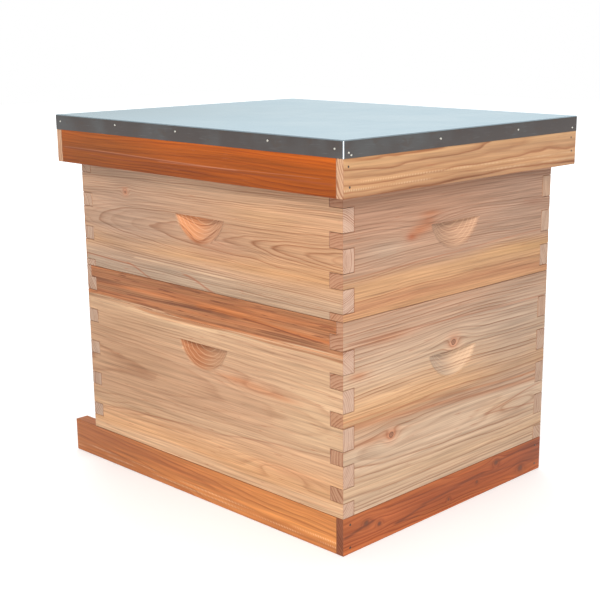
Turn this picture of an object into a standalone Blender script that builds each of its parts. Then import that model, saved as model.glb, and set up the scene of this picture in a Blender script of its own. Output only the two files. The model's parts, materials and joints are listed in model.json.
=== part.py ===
"""A ten-frame bee hive: bottom board, deep box, shallow super, inner cover and telescoping cover.

The boxes are finger-jointed fir boards with half-moon handholds. Each box holds ten hanging frames.
The outer cover is a half-lapped rim round a panel, under a folded sheet of galvanised steel.
+Z is up, the entrance and its landing look along -Y, and X runs across the hive.
The origin is at ground height, in the middle of the space the whole hive takes up.
"""

import math

import bmesh
import bpy

# Clearance kept between pieces that touch, and how far a cutter runs on past what it cuts.
GAP = 0.0003
CUT_MARGIN = 0.01

# Boxes: outside plan, board thicknesses and heights.
BOX_WIDTH = 0.413
BOX_LENGTH = 0.505
END_BOARD = 0.021
SIDE_BOARD = 0.019
DEEP_HEIGHT = 0.244
SUPER_HEIGHT = 0.168

# The rabbet along the end boards' inner top edge, where the frames hang.
RABBET_HEIGHT = 0.016
RABBET_DEPTH = 0.011

# Corner joint: fingers measured down from the box's top, the end board's first.
TOP_FINGER = 0.035
SIDE_FINGER = 0.0288
END_FINGER = 0.0185

# Half-moon handhold, scooped out under a flat ledge.
HOLD_DROP = 0.0725
HOLD_HALF_WIDTH = 0.049
HOLD_HEIGHT = 0.036
HOLD_DEPTH = 0.012
HOLD_STEPS = 10
HOLD_TURN_STEPS = 120
HOLD_CUTTER_FOOT = 0.002
HOLD_CUTTER_CORE = 0.9

# Bottom board.
BASE_HEIGHT = 0.048
RAIL_WIDTH = 0.020
RAIL_LAP = 0.011
LANDING = 0.050
FLOOR_THICKNESS = 0.019
FLOOR_BASE = 0.009
FLOOR_GROOVE = 0.010
FLOOR_PLANKS = 3

# Entrance reducer: a square stick with a wide notch below and a narrow one behind.
REDUCER_SIZE = 0.019
REDUCER_END_PLAY = 0.002
REDUCER_WIDE_NOTCH = 0.110
REDUCER_NARROW_NOTCH = 0.020
REDUCER_NOTCH_DEPTH = 0.0085
REDUCER_NARROW_AT = 0.110

# Frames.
FRAMES = 10
FRAME_PITCH = 0.0353
FRAME_DROP = 0.006
TOP_BAR_LENGTH = 0.482
TOP_BAR_WIDTH = 0.027
TOP_BAR_HEIGHT = 0.020
LUG_HEIGHT = RABBET_HEIGHT - FRAME_DROP - GAP
FRAME_LENGTH = 0.448
END_BAR_THICKNESS = 0.010
SHOULDER_WIDTH = 0.035
SHOULDER_SHARE = 0.38
SHOULDER_TAPER = 0.012
END_BAR_WIDTH = 0.028
END_BAR_SET_BACK = 0.0006
BOTTOM_BAR_WIDTH = 0.019
BOTTOM_BAR_HEIGHT = 0.009
FOUNDATION = 0.0016
DEEP_FRAME_HEIGHT = 0.232
SUPER_FRAME_HEIGHT = 0.159

# Inner cover.
INNER_HEIGHT = 0.020
INNER_RIM_WIDTH = 0.045
INNER_GROOVE = 0.010
INNER_PANEL = 0.005
INNER_PANEL_BASE = 0.009
FEED_HOLE_LENGTH = 0.095
FEED_HOLE_WIDTH = 0.032
FEED_HOLE_STEPS = 32
FEED_HOLE_CUT = 0.04
VENT_WIDTH = 0.025
VENT_DEPTH = 0.008

# Outer cover.
COVER_WIDTH = 0.460
COVER_LENGTH = 0.552
COVER_OVERLAP = 0.0206
COVER_PANEL = 0.0229
COVER_RIM = 0.020
COVER_RIM_LAP = 0.011
COVER_PANEL_LEDGE = 0.010
SHEET = 0.0008
SKIRT = 0.0203

# Half the difference between the landing's reach and the cover's overhang centres the hive in Y.
COVER_OVERHANG = (COVER_LENGTH - BOX_LENGTH) / 2
HIVE_Y = (LANDING - COVER_OVERHANG) / 2

HALF_WIDTH = BOX_WIDTH / 2
HALF_LENGTH = BOX_LENGTH / 2

# Rotations that stand a flat outline up: its u runs along X or Y, and its v runs up.
FACING_Y = (math.radians(90), 0, 0)
FACING_X = (math.radians(90), 0, math.radians(90))
LYING = (0, 0, 0)

# Faces that turn by less than this are one flat face, and by more than that keep a sharp edge.
FLAT_ANGLE = math.radians(0.1)
SHARP_ANGLE = math.radians(30)

# Corners closer than this are one corner.
SAME_POINT = 0.000001
SAME_POINT_AFTER_TURNING = 0.00001

# An outline with more corners than this is a smooth curve.
MOST_CORNERS = 60


def clear_scene():
    for obj in list(bpy.data.objects):
        bpy.data.objects.remove(obj, do_unlink=True)


def new_collection(name):
    collection = bpy.data.collections.new(name)
    bpy.context.scene.collection.children.link(collection)
    return collection


def new_material(name, color, roughness, metallic=0.0):
    material = bpy.data.materials.new(name)
    material.use_nodes = True
    shader = material.node_tree.nodes["Principled BSDF"]
    shader.inputs["Base Color"].default_value = (*color, 1.0)
    shader.inputs["Roughness"].default_value = roughness
    shader.inputs["Metallic"].default_value = metallic
    material.diffuse_color = (*color, 1.0)
    return material


clear_scene()
HIVE = new_collection("beehive")
CUTTERS = new_collection("cutters")

BOX_WOOD = new_material("box_wood", (0.68, 0.42, 0.25), 0.6)
BASE_WOOD = new_material("base_wood", (0.50, 0.22, 0.10), 0.5)
RIM_WOOD = new_material("rim_wood", (0.48, 0.18, 0.07), 0.5)
PALE_RIM_WOOD = new_material("pale_rim_wood", (0.62, 0.35, 0.17), 0.55)
FRAME_WOOD = new_material("frame_wood", (0.72, 0.52, 0.32), 0.6)
WAX = new_material("wax", (0.75, 0.50, 0.14), 0.45)
PANEL_WOOD = new_material("panel_wood", (0.66, 0.46, 0.28), 0.6)
ZINC = new_material("zinc", (0.60, 0.65, 0.68), 0.35, 1.0)


def add_empty(name, location, parent=None):
    """A holder for the pieces of one assembly, at the place where it rests."""
    holder = bpy.data.objects.new(name, None)
    holder.empty_display_size = 0.05
    HIVE.objects.link(holder)
    holder.parent = parent
    holder.location = location
    return holder


def add_object(name, mesh, parent, location, material):
    obj = bpy.data.objects.new(name, mesh)
    HIVE.objects.link(obj)
    obj.parent = parent
    obj.location = location
    if not mesh.materials:
        mesh.materials.append(material)
    return obj


def block_mesh(name, size):
    """A cuboid centred on its own origin."""
    mesh = bpy.data.meshes.new(name)
    shape = bmesh.new()
    bmesh.ops.create_cube(shape, size=1.0)
    bmesh.ops.scale(shape, vec=size, verts=shape.verts)
    shape.to_mesh(mesh)
    shape.free()
    return mesh


def add_block(name, low, high, parent, material):
    """A cuboid between two corners, given in the holder's own space."""
    size = [b - a for a, b in zip(low, high)]
    middle = [(a + b) / 2 for a, b in zip(low, high)]
    return add_object(name, block_mesh(name, size), parent, middle, material)


def split_at_corners(shape, points):
    """Cuts the flat faces into a grid along the outline's own corners, so that every face is simple."""
    for axis in (0, 1):
        normal = [0, 0, 0]
        normal[axis] = 1
        for level in sorted({round(point[axis], 7) for point in points})[1:-1]:
            place = [level * part for part in normal]
            geometry = shape.verts[:] + shape.edges[:] + shape.faces[:]
            bmesh.ops.bisect_plane(shape, geom=geometry, dist=SAME_POINT, plane_co=place, plane_no=normal)


def outline_mesh(name, points, thickness):
    """A flat outline given a thickness, half of it to each side."""
    curve = bpy.data.curves.new(name, "CURVE")
    curve.dimensions = "2D"
    curve.fill_mode = "BOTH"
    curve.extrude = thickness / 2
    spline = curve.splines.new("POLY")
    spline.points.add(len(points) - 1)
    for point, (u, v) in zip(spline.points, points):
        point.co = (u, v, 0, 1)
    spline.use_cyclic_u = True
    flat = bpy.data.objects.new(name + "_outline", curve)
    HIVE.objects.link(flat)
    graph = bpy.context.evaluated_depsgraph_get()
    mesh = bpy.data.meshes.new_from_object(flat.evaluated_get(graph))
    mesh.name = name
    shape = bmesh.new()
    shape.from_mesh(mesh)
    bmesh.ops.remove_doubles(shape, verts=shape.verts, dist=SAME_POINT)
    bmesh.ops.dissolve_limit(shape, angle_limit=FLAT_ANGLE, verts=shape.verts, edges=shape.edges)
    if len(points) <= MOST_CORNERS:
        split_at_corners(shape, points)
    bmesh.ops.recalc_face_normals(shape, faces=shape.faces)
    shape.to_mesh(mesh)
    shape.free()
    bpy.data.objects.remove(flat)
    bpy.data.curves.remove(curve)
    return mesh


def add_plate(name, points, thickness, parent, location, rotation, material):
    """An outline piece whose middle plane passes through its location."""
    mesh = outline_mesh(name, points, thickness)
    plate = add_object(name, mesh, parent, location, material)
    plate.rotation_euler = rotation
    return plate


def mirrored(half):
    """Closes a half outline, listed down its +u side, with its mirror image."""
    return half + [(-u, v) for u, v in reversed(half)]


def hide_cutter(cutter, parent, location, rotation=LYING):
    CUTTERS.objects.link(cutter)
    cutter.parent = parent
    cutter.location = location
    cutter.rotation_euler = rotation
    cutter.hide_render = True
    cutter.display_type = "WIRE"


def block_cutter(name, low, high, parent):
    size = [b - a for a, b in zip(low, high)]
    middle = [(a + b) / 2 for a, b in zip(low, high)]
    cutter = bpy.data.objects.new(name, block_mesh(name, size))
    hide_cutter(cutter, parent, middle)
    return cutter


def cut(obj, cutter):
    boolean = obj.modifiers.new(cutter.name, "BOOLEAN")
    boolean.operation = "DIFFERENCE"
    boolean.object = cutter


def shade_by_angle(mesh):
    mesh.shade_smooth()
    mesh.set_sharp_from_angle(angle=SHARP_ANGLE)


# ---- Boxes ----


def joint_levels(height):
    """Depths below the box's top where the corner changes from one board to the other."""
    levels = [0.0]
    steps = [TOP_FINGER]
    while levels[-1] + steps[-1] < height:
        levels.append(levels[-1] + steps[-1])
        steps.append(END_FINGER if steps[-1] == SIDE_FINGER else SIDE_FINGER)
    return levels + [height]


def edge_outline(levels, reaches, top):
    """Points down one edge. A finger gives up half the clearance where it meets its neighbour."""
    points = [(reaches[0], top - levels[0])]
    for index, level in enumerate(levels[1:-1]):
        above = reaches[index]
        below = reaches[index + 1]
        edge = top - level + math.copysign(GAP / 2, above - below)
        points += [(above, edge), (below, edge)]
    points.append((reaches[-1], top - levels[-1]))
    return points


def alternate(count, first, second):
    return [second if index % 2 else first for index in range(count)]


def end_board_outline(height):
    levels = joint_levels(height - GAP)
    notch = HALF_WIDTH - SIDE_BOARD - GAP
    reaches = alternate(len(levels) - 1, HALF_WIDTH, notch)
    return mirrored(edge_outline(levels, reaches, height))


def side_board_outline(height):
    """The side board also closes the rabbet's ends, so its top reaches further than its notches."""
    levels = joint_levels(height - GAP)
    notch = HALF_LENGTH - END_BOARD - GAP
    reaches = alternate(len(levels) - 1, notch, HALF_LENGTH)
    levels.insert(1, RABBET_HEIGHT)
    reaches.insert(0, notch + RABBET_DEPTH)
    return mirrored(edge_outline(levels, reaches, height))


def handhold_mesh():
    """A round scoop: on the board's face its lower edge is an arc, and it is deepest at the ledge."""
    face_radius = (HOLD_HALF_WIDTH**2 + HOLD_HEIGHT**2) / (2 * HOLD_HEIGHT)
    turn_radius = (HOLD_DEPTH**2 + HOLD_HALF_WIDTH**2) / (2 * HOLD_DEPTH)
    stand_off = turn_radius - HOLD_DEPTH
    arc_rise = face_radius - HOLD_HEIGHT
    profile = [(0.0, 0.0)]
    for step in range(HOLD_STEPS + 1):
        drop = HOLD_HEIGHT * math.sin(math.pi / 2 * step / HOLD_STEPS)
        half_width = math.sqrt(max(face_radius**2 - (drop + arc_rise) ** 2, 0.0))
        profile.append((math.hypot(stand_off, half_width), -drop))
    foot = -HOLD_HEIGHT - HOLD_CUTTER_FOOT
    profile += [(stand_off * HOLD_CUTTER_CORE, foot), (0.0, foot)]
    mesh = bpy.data.meshes.new("handhold_profile")
    edges = [(index, index + 1) for index in range(len(profile) - 1)]
    mesh.from_pydata([(r, 0, z) for r, z in profile], edges, [])
    return mesh, stand_off


def cut_handhold(board, parent, direction, face, height):
    """Scoops the handhold out of a board's outer face; direction is X or Y and its sign."""
    mesh, stand_off = handhold_mesh()
    cutter = bpy.data.objects.new(board.name + "_handhold", mesh)
    axis, sign = direction
    location = [0.0, 0.0, height - HOLD_DROP]
    location[axis] = sign * (face + stand_off)
    turn = math.radians(180 / HOLD_TURN_STEPS)
    hide_cutter(cutter, parent, location, (0, 0, turn))
    screw = cutter.modifiers.new("turn", "SCREW")
    screw.steps = HOLD_TURN_STEPS
    screw.render_steps = HOLD_TURN_STEPS
    screw.use_merge_vertices = True
    screw.merge_threshold = SAME_POINT_AFTER_TURNING
    cut(board, cutter)


def hive_box(prefix, height, holder):
    """Four finger-jointed boards. The end boards carry the frames in their rabbets."""
    for side, sign in (("front", -1), ("back", 1)):
        middle = (0, sign * (HALF_LENGTH - END_BOARD / 2), 0)
        name = f"{prefix}_board_{side}"
        board = add_plate(name, end_board_outline(height), END_BOARD, holder, middle, FACING_Y, BOX_WOOD)
        inner = HALF_LENGTH - END_BOARD
        reach = sorted((sign * (inner - CUT_MARGIN), sign * (inner + RABBET_DEPTH)))
        low = (-BOX_WIDTH, reach[0], height - RABBET_HEIGHT - GAP / 2)
        high = (BOX_WIDTH, reach[1], height + CUT_MARGIN)
        cut(board, block_cutter(name + "_rabbet", low, high, holder))
        cut_handhold(board, holder, (1, sign), HALF_LENGTH, height)
    for side, sign in (("left", -1), ("right", 1)):
        middle = (sign * (HALF_WIDTH - SIDE_BOARD / 2), 0, 0)
        name = f"{prefix}_board_{side}"
        board = add_plate(name, side_board_outline(height), SIDE_BOARD, holder, middle, FACING_X, BOX_WOOD)
        cut_handhold(board, holder, (0, sign), HALF_WIDTH, height)


# ---- Frames ----


def top_bar_outline(play):
    """Seen from the side: a deep middle between the end bars, and a thin lug at each end."""
    body = FRAME_LENGTH / 2 - END_BAR_THICKNESS - play
    lug = TOP_BAR_LENGTH / 2
    half = [(lug, 0), (lug, -LUG_HEIGHT), (body, -LUG_HEIGHT), (body, -TOP_BAR_HEIGHT)]
    return mirrored(half)


def end_bar_outline(height, play):
    """Seen from the end: a fork round the top bar's lug, wide shoulders, and a slot for the bottom bar."""
    shoulder = SHOULDER_WIDTH / 2
    waist = END_BAR_WIDTH / 2
    fork = TOP_BAR_WIDTH / 2 + play
    slot = BOTTOM_BAR_WIDTH / 2 + play
    fork_base = -LUG_HEIGHT - play
    slot_top = -height + BOTTOM_BAR_HEIGHT + play
    shoulder_base = -height * SHOULDER_SHARE
    foot = -height + END_BAR_SET_BACK
    half = [
        (fork, fork_base),
        (fork, -END_BAR_SET_BACK),
        (shoulder, -END_BAR_SET_BACK),
        (shoulder, shoulder_base),
        (waist, shoulder_base - SHOULDER_TAPER),
        (waist, foot),
        (slot, foot),
        (slot, slot_top),
    ]
    return mirrored(half)


def frame_pieces(name, height, play, holder):
    """The five pieces of one frame, hanging down from the holder, with play between them."""
    bar_end = FRAME_LENGTH / 2
    inside = bar_end - END_BAR_THICKNESS - play
    pieces = [
        add_plate(
            name + "_top_bar", top_bar_outline(play), TOP_BAR_WIDTH, holder, (0, 0, 0), FACING_X, FRAME_WOOD
        )
    ]
    for side, sign in (("front", -1), ("back", 1)):
        middle = (0, sign * (bar_end - END_BAR_THICKNESS / 2), 0)
        outline = end_bar_outline(height, play)
        end_bar = f"{name}_end_bar_{side}"
        pieces.append(add_plate(end_bar, outline, END_BAR_THICKNESS, holder, middle, FACING_Y, FRAME_WOOD))
    low = (-BOTTOM_BAR_WIDTH / 2, -bar_end + GAP, -height)
    high = (BOTTOM_BAR_WIDTH / 2, bar_end - GAP, -height + BOTTOM_BAR_HEIGHT)
    pieces.append(add_block(name + "_bottom_bar", low, high, holder, FRAME_WOOD))
    low = (-FOUNDATION / 2, -inside, -height + BOTTOM_BAR_HEIGHT + play)
    high = (FOUNDATION / 2, inside, -TOP_BAR_HEIGHT - play)
    pieces.append(add_block(name + "_foundation", low, high, holder, WAX))
    return pieces


def joined_frame_mesh(name, height):
    """One frame as a single solid: its five pieces, a little larger so that they overlap, united."""
    bench = add_empty(name + "_bench", (0, 0, 0))
    pieces = frame_pieces(name, height, -GAP, bench)
    whole = pieces[0]
    for piece in pieces[1:]:
        union = whole.modifiers.new(piece.name, "BOOLEAN")
        union.operation = "UNION"
        union.object = piece
    graph = bpy.context.evaluated_depsgraph_get()
    mesh = bpy.data.meshes.new_from_object(whole.evaluated_get(graph))
    mesh.name = name
    mesh.transform(whole.matrix_world)
    for obj in [*pieces, bench]:
        bpy.data.objects.remove(obj)
    return mesh


def hang_frames(prefix, box_height, frame_height, holder):
    """All but the last frame share one joined mesh. The last is made of its separate pieces."""
    shared = joined_frame_mesh(prefix + "_frame", frame_height)
    top = box_height - FRAME_DROP
    for index in range(FRAMES):
        name = f"{prefix}_frame_{index + 1:02d}"
        across = (index - (FRAMES - 1) / 2) * FRAME_PITCH
        hanger = add_empty(name + "_lift", (across, 0, top), holder)
        if index < FRAMES - 1:
            add_object(name, shared, hanger, (0, 0, 0), FRAME_WOOD)
        else:
            frame_pieces(name, frame_height, GAP, hanger)


# ---- Bottom board ----


def side_rail_outline():
    """Cross-section of a rail, its floor groove on the -u side."""
    half = RAIL_WIDTH / 2
    groove = -half + FLOOR_GROOVE + GAP
    low = FLOOR_BASE - GAP
    high = FLOOR_BASE + FLOOR_THICKNESS + GAP
    return [
        (-half, 0),
        (half, 0),
        (half, BASE_HEIGHT),
        (-half, BASE_HEIGHT),
        (-half, high),
        (groove, high),
        (groove, low),
        (-half, low),
    ]


def bottom_board(holder):
    """Two side rails and a back rail hold the floor planks, which run on in front as the landing."""
    front = -HALF_LENGTH - LANDING
    lap = HALF_LENGTH - RAIL_LAP - GAP
    for side, sign in (("left", -1), ("right", 1)):
        middle = (sign * (HALF_WIDTH - RAIL_WIDTH / 2), (front + lap) / 2, 0)
        outline = [(sign * u, v) for u, v in side_rail_outline()]
        add_plate(f"bottom_rail_{side}", outline, lap - front, holder, middle, FACING_Y, BASE_WOOD)
    add_back_rail(holder)
    add_floor(holder)


def add_back_rail(holder):
    """Its outer half laps over the side rails' ends, and its inner half stops between them."""
    inner = HALF_WIDTH - RAIL_WIDTH - GAP
    outer_face = HALF_LENGTH
    step = HALF_LENGTH - RAIL_LAP
    inner_face = HALF_LENGTH - RAIL_WIDTH
    half = [(HALF_WIDTH, outer_face), (HALF_WIDTH, step), (inner, step), (inner, inner_face)]
    middle = (0, 0, BASE_HEIGHT / 2)
    rail = add_plate("bottom_rail_back", mirrored(half), BASE_HEIGHT, holder, middle, LYING, BASE_WOOD)
    low = (-inner - CUT_MARGIN, inner_face - CUT_MARGIN, FLOOR_BASE - GAP)
    high = (inner + CUT_MARGIN, step - GAP, FLOOR_BASE + FLOOR_THICKNESS + GAP)
    cut(rail, block_cutter("bottom_rail_back_groove", low, high, holder))


def add_floor(holder):
    reach = HALF_WIDTH - RAIL_WIDTH + FLOOR_GROOVE
    front = -HALF_LENGTH - LANDING
    back = HALF_LENGTH - RAIL_LAP - 3 * GAP
    depth = (back - front) / FLOOR_PLANKS
    for index in range(FLOOR_PLANKS):
        low = (-reach, front + index * depth + GAP / 2, FLOOR_BASE)
        high = (reach, front + (index + 1) * depth - GAP / 2, FLOOR_BASE + FLOOR_THICKNESS)
        if index == FLOOR_PLANKS - 1:
            inner = HALF_WIDTH - RAIL_WIDTH - 2 * GAP
            add_back_plank(low, high, inner, holder)
        else:
            add_block(f"floor_plank_{index + 1}", low, high, holder, PANEL_WOOD)


def add_back_plank(low, high, inner, holder):
    """The last plank is narrowed where it enters the back rail's groove."""
    shoulder = HALF_LENGTH - RAIL_WIDTH - GAP
    half = [(inner, high[1]), (inner, shoulder), (high[0], shoulder), (high[0], low[1])]
    middle = (0, 0, (low[2] + high[2]) / 2)
    name = f"floor_plank_{FLOOR_PLANKS}"
    add_plate(name, mirrored(half), FLOOR_THICKNESS, holder, middle, LYING, PANEL_WOOD)


def entrance_reducer(holder):
    """A stick that fills the entrance, notched so that only a small doorway stays open."""
    half = HALF_WIDTH - RAIL_WIDTH - REDUCER_END_PLAY
    low = (-half, 0, 0)
    high = (half, REDUCER_SIZE, REDUCER_SIZE)
    stick = add_block("entrance_reducer", low, high, holder, PANEL_WOOD)
    past = REDUCER_SIZE + CUT_MARGIN
    wide = REDUCER_WIDE_NOTCH / 2
    low = (-wide, -CUT_MARGIN, -CUT_MARGIN)
    high = (wide, past, REDUCER_NOTCH_DEPTH)
    cut(stick, block_cutter("reducer_wide_notch", low, high, holder))
    narrow = REDUCER_NARROW_NOTCH / 2
    low = (REDUCER_NARROW_AT - narrow, REDUCER_SIZE - REDUCER_NOTCH_DEPTH, -CUT_MARGIN)
    high = (REDUCER_NARROW_AT + narrow, past, past)
    cut(stick, block_cutter("reducer_narrow_notch", low, high, holder))


# ---- Covers ----


def inner_rim_outline():
    """Cross-section of an inner cover rim, its panel groove on the -u side."""
    half = INNER_RIM_WIDTH / 2
    groove = -half + INNER_GROOVE + GAP
    low = INNER_PANEL_BASE - GAP
    high = INNER_PANEL_BASE + INNER_PANEL + GAP
    return [
        (-half, GAP),
        (half, GAP),
        (half, INNER_HEIGHT),
        (-half, INNER_HEIGHT),
        (-half, high),
        (groove, high),
        (groove, low),
        (-half, low),
    ]


def inner_cover(holder):
    """Four grooved rims round a thin panel with an oval feed hole; the front rim has a vent notch."""
    for side, sign in (("left", -1), ("right", 1)):
        middle = (sign * (HALF_WIDTH - INNER_RIM_WIDTH / 2), 0, 0)
        outline = [(sign * u, v) for u, v in inner_rim_outline()]
        add_plate(f"inner_rim_{side}", outline, BOX_LENGTH, holder, middle, FACING_Y, PANEL_WOOD)
    length = BOX_WIDTH - 2 * INNER_RIM_WIDTH - 2 * GAP
    for side, sign in (("front", -1), ("back", 1)):
        middle = (0, sign * (HALF_LENGTH - INNER_RIM_WIDTH / 2), 0)
        outline = [(sign * u, v) for u, v in inner_rim_outline()]
        rim = add_plate(f"inner_rim_{side}", outline, length, holder, middle, FACING_X, PANEL_WOOD)
        if side == "front":
            low = (-VENT_WIDTH / 2, -BOX_LENGTH, INNER_HEIGHT - VENT_DEPTH)
            high = (VENT_WIDTH / 2, -HALF_LENGTH + INNER_RIM_WIDTH + CUT_MARGIN, INNER_HEIGHT + CUT_MARGIN)
            cut(rim, block_cutter("inner_rim_vent", low, high, holder))
    add_inner_panel(holder)


def add_inner_panel(holder):
    across = HALF_WIDTH - INNER_RIM_WIDTH + INNER_GROOVE
    along = HALF_LENGTH - INNER_RIM_WIDTH + INNER_GROOVE
    base = INNER_PANEL_BASE
    low = (-across, -along, base)
    panel = add_block("inner_panel", low, (across, along, base + INNER_PANEL), holder, PANEL_WOOD)
    radius = FEED_HOLE_WIDTH / 2
    straight = FEED_HOLE_LENGTH / 2 - radius
    oval = []
    for index in range(FEED_HOLE_STEPS + 1):
        turn = math.pi * index / FEED_HOLE_STEPS
        oval.append((radius * math.cos(turn), straight + radius * math.sin(turn)))
    oval += [(-u, -v) for u, v in oval]
    hole = bpy.data.objects.new("feed_hole", outline_mesh("feed_hole", oval, FEED_HOLE_CUT))
    hide_cutter(hole, holder, (0, 0, base))
    cut(panel, hole)


def cover_rim(holder):
    """Half-lapped boards: the short ones run past the long ones' ends. A ledge inside takes the panel."""
    reach_x = COVER_WIDTH / 2 - SHEET - GAP
    reach_y = COVER_LENGTH / 2 - SHEET - GAP
    top = COVER_PANEL + GAP
    height = COVER_OVERLAP + INNER_HEIGHT + top
    middle_z = top - height / 2
    inner_x = reach_x - COVER_RIM
    inner_y = reach_y - COVER_RIM
    lap = reach_y - COVER_RIM_LAP
    ledge_x = inner_x + COVER_PANEL_LEDGE
    ledge_y = inner_y + COVER_PANEL_LEDGE
    low = (-ledge_x, -ledge_y, 0)
    high = (ledge_x, ledge_y, top + CUT_MARGIN)
    ledge = block_cutter("cover_ledge", low, high, holder)
    for side, sign in (("front", -1), ("back", 1)):
        half = [(reach_x, reach_y), (reach_x, lap), (inner_x - GAP, lap), (inner_x - GAP, inner_y)]
        outline = [(u, sign * v) for u, v in mirrored(half)]
        name = f"cover_rim_{side}"
        cut(add_plate(name, outline, height, holder, (0, 0, middle_z), LYING, PALE_RIM_WOOD), ledge)
    for side, sign in (("left", -1), ("right", 1)):
        half = [(reach_x, lap - GAP), (inner_x, lap - GAP), (inner_x, -lap + GAP), (reach_x, -lap + GAP)]
        outline = [(sign * u, v) for u, v in half]
        name = f"cover_rim_{side}"
        cut(add_plate(name, outline, height, holder, (0, 0, middle_z), LYING, RIM_WOOD), ledge)
    panel_x = ledge_x - GAP
    panel_y = ledge_y - GAP
    low = (-panel_x, -panel_y, GAP)
    high = (panel_x, panel_y, top)
    add_block("cover_panel", low, high, holder, PANEL_WOOD)


def cover_sheet(holder):
    """Galvanised sheet folded down over the rim: an open box, thickened inwards."""
    top = COVER_PANEL + 2 * GAP + SHEET
    mesh = block_mesh("cover_sheet", (COVER_WIDTH, COVER_LENGTH, SKIRT))
    shape = bmesh.new()
    shape.from_mesh(mesh)
    open_side = [face for face in shape.faces if face.normal.z < -0.5]
    bmesh.ops.delete(shape, geom=open_side, context="FACES_ONLY")
    shape.to_mesh(mesh)
    shape.free()
    sheet = add_object("cover_sheet", mesh, holder, (0, 0, top - SKIRT / 2), ZINC)
    shell = sheet.modifiers.new("thickness", "SOLIDIFY")
    shell.thickness = SHEET
    shell.offset = -1.0
    shell.use_even_offset = True


def build():
    ground = add_empty("bottom_board", (0, HIVE_Y, 0))
    bottom_board(ground)
    doorway = (0, -HALF_LENGTH + GAP, FLOOR_BASE + FLOOR_THICKNESS + GAP)
    entrance_reducer(add_empty("reducer_slide", doorway, ground))
    deep = add_empty("deep_lift", (0, 0, BASE_HEIGHT), ground)
    hive_box("deep", DEEP_HEIGHT, deep)
    hang_frames("deep", DEEP_HEIGHT, DEEP_FRAME_HEIGHT, deep)
    upper = add_empty("super_lift", (0, 0, DEEP_HEIGHT), deep)
    hive_box("super", SUPER_HEIGHT, upper)
    hang_frames("super", SUPER_HEIGHT, SUPER_FRAME_HEIGHT, upper)
    lid = add_empty("inner_cover_lift", (0, 0, SUPER_HEIGHT), upper)
    inner_cover(lid)
    roof = add_empty("cover_lift", (0, 0, INNER_HEIGHT), lid)
    cover_rim(roof)
    cover_sheet(roof)
    for obj in HIVE.objects:
        if obj.type == "MESH":
            shade_by_angle(obj.data)


build()
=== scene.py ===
import json
import math
import random

import bmesh
import bpy
from mathutils import Matrix, Vector


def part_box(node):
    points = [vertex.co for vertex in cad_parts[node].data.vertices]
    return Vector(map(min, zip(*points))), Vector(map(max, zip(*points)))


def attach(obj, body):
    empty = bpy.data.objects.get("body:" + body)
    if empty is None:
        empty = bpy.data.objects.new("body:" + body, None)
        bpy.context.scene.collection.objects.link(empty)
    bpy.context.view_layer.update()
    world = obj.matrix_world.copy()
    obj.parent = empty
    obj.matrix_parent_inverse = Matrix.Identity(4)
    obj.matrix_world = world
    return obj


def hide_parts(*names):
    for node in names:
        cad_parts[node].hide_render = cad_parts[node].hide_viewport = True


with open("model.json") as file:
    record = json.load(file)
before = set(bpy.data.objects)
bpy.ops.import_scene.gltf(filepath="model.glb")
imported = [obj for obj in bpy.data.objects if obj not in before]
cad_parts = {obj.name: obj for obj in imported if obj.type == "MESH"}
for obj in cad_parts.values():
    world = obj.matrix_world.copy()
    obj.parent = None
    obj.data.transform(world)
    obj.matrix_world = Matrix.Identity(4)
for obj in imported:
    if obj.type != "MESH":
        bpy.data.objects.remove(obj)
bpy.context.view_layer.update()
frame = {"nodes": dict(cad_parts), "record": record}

NODES = frame["nodes"]
BODY_OF = {node: body for body, nodes in frame["record"]["behaviour"]["bodies"].items() for node in nodes}

# The middle of the boxes in Y; the landing and the roof's overhang differ, so it isn't the origin.
HIVE_Y = sum(corner.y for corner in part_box("deep_board_left")) / 2

# Axes by number, for boards whose grain runs along X or Y.
X, Y, Z = 0, 1, 2


# ---- Shader building ----


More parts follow.
